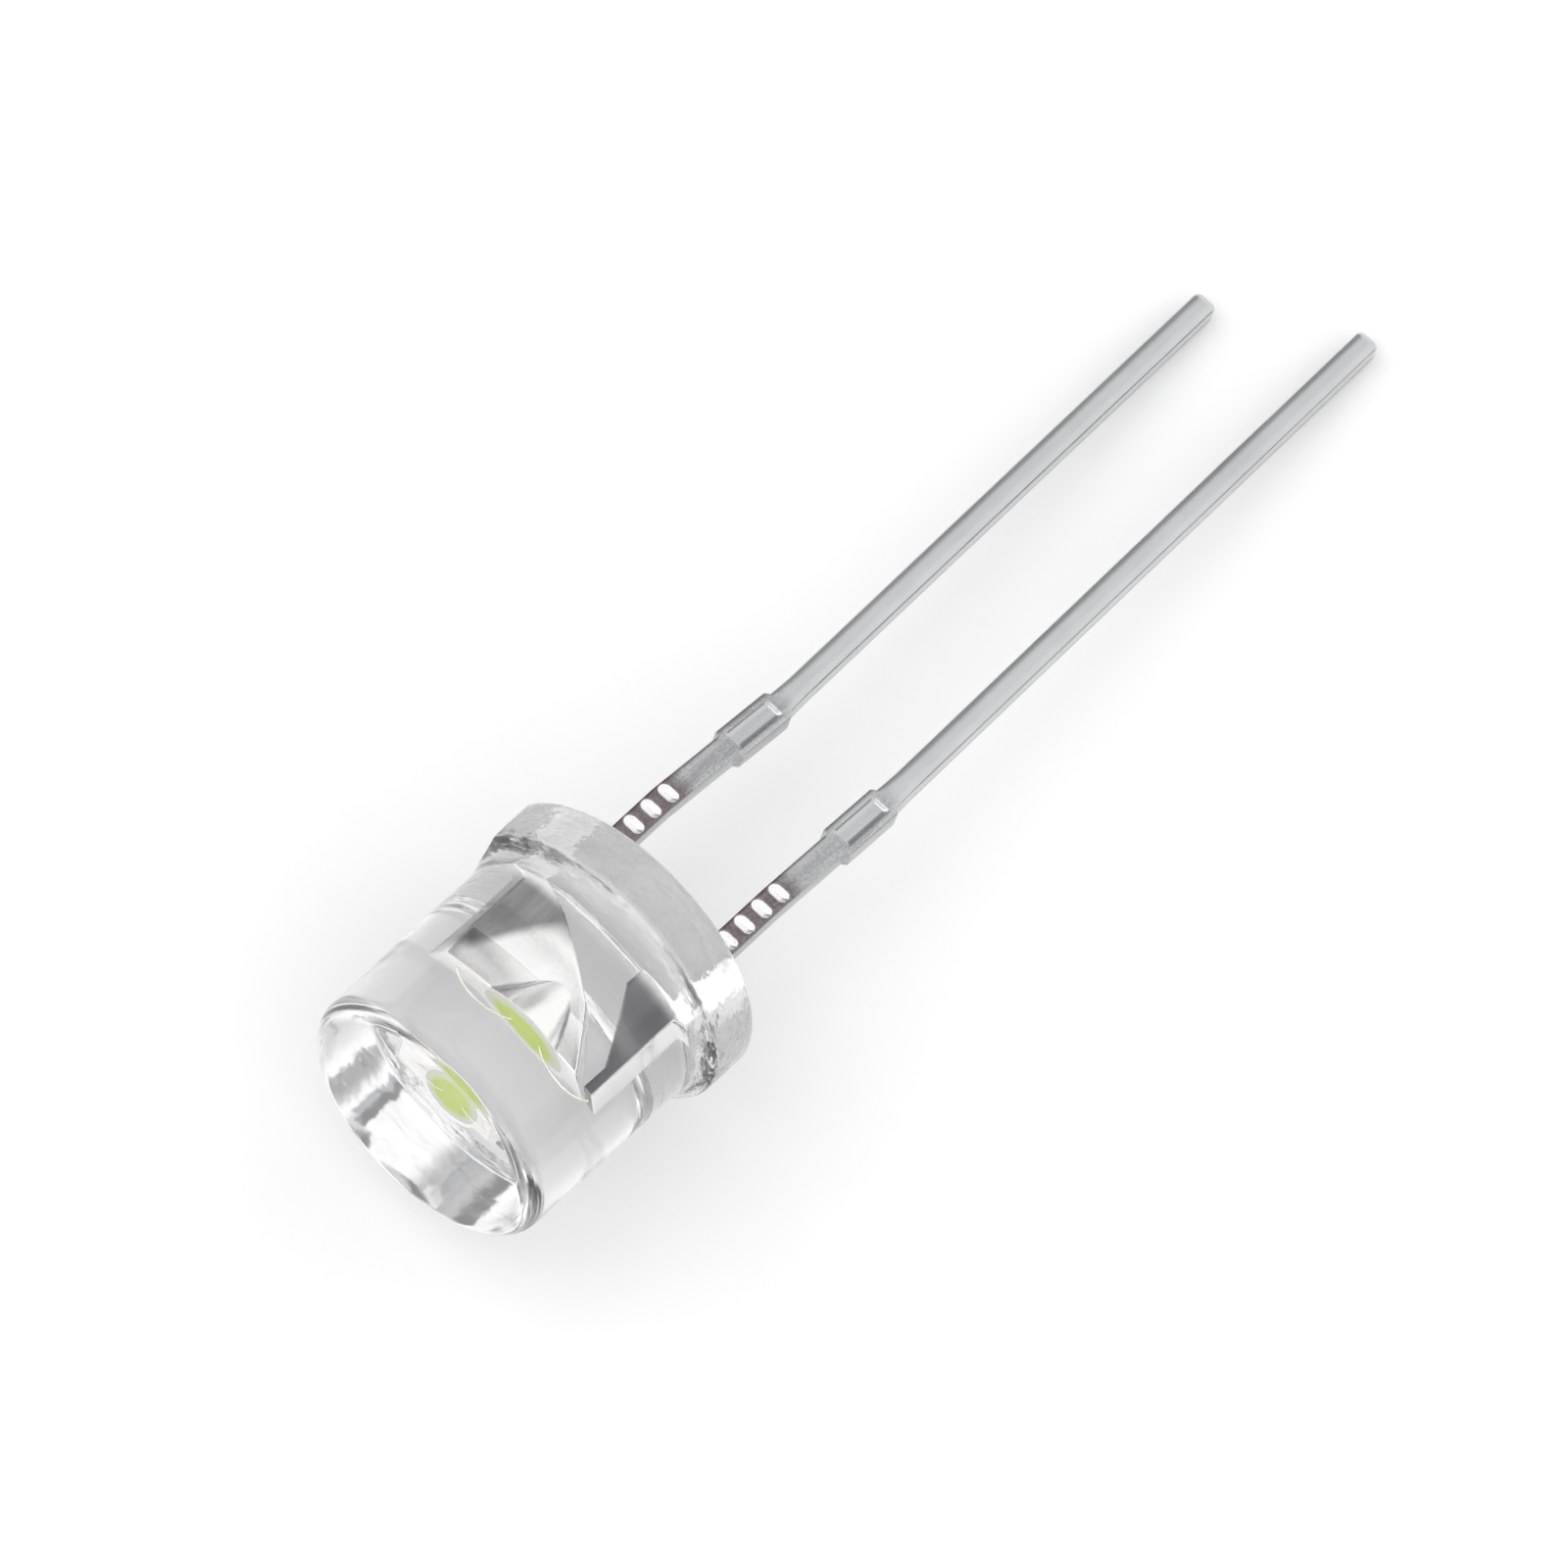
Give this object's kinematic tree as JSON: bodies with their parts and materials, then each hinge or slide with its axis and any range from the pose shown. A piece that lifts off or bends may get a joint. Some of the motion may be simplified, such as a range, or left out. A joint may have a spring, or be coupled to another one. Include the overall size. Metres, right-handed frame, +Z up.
{
  "type": "through hole led",
  "caption": "Clear flat-topped round light-emitting diode with a flanged case and two straight stamped leads, shown lying down.",
  "frame": {"origin": "middle of the part's footprint, on the surface that it lies on", "axes": "+Z up; -Y is the way the flat top faces, tipped up a little, and +Y the way the leads run; +X from the cathode lead to the anode lead"},
  "size_m": [0.0054, 0.0228, 0.006],
  "materials": {
    "clear_epoxy": "gloss",
    "tinned_lead": "satin",
    "attach_paste": "matte",
    "die": "gloss",
    "phosphor": "satin",
    "gold_wire": "gloss"
  },
  "bodies": {
    "root": {"epoxy_case": "clear_epoxy", "cathode_lead": "tinned_lead", "anode_lead": "tinned_lead", "die_attach": "attach_paste", "led_die": "die", "phosphor_fill": "phosphor", "cathode_bond_wire": "gold_wire", "anode_bond_wire": "gold_wire"}
  },
  "joints": []
}
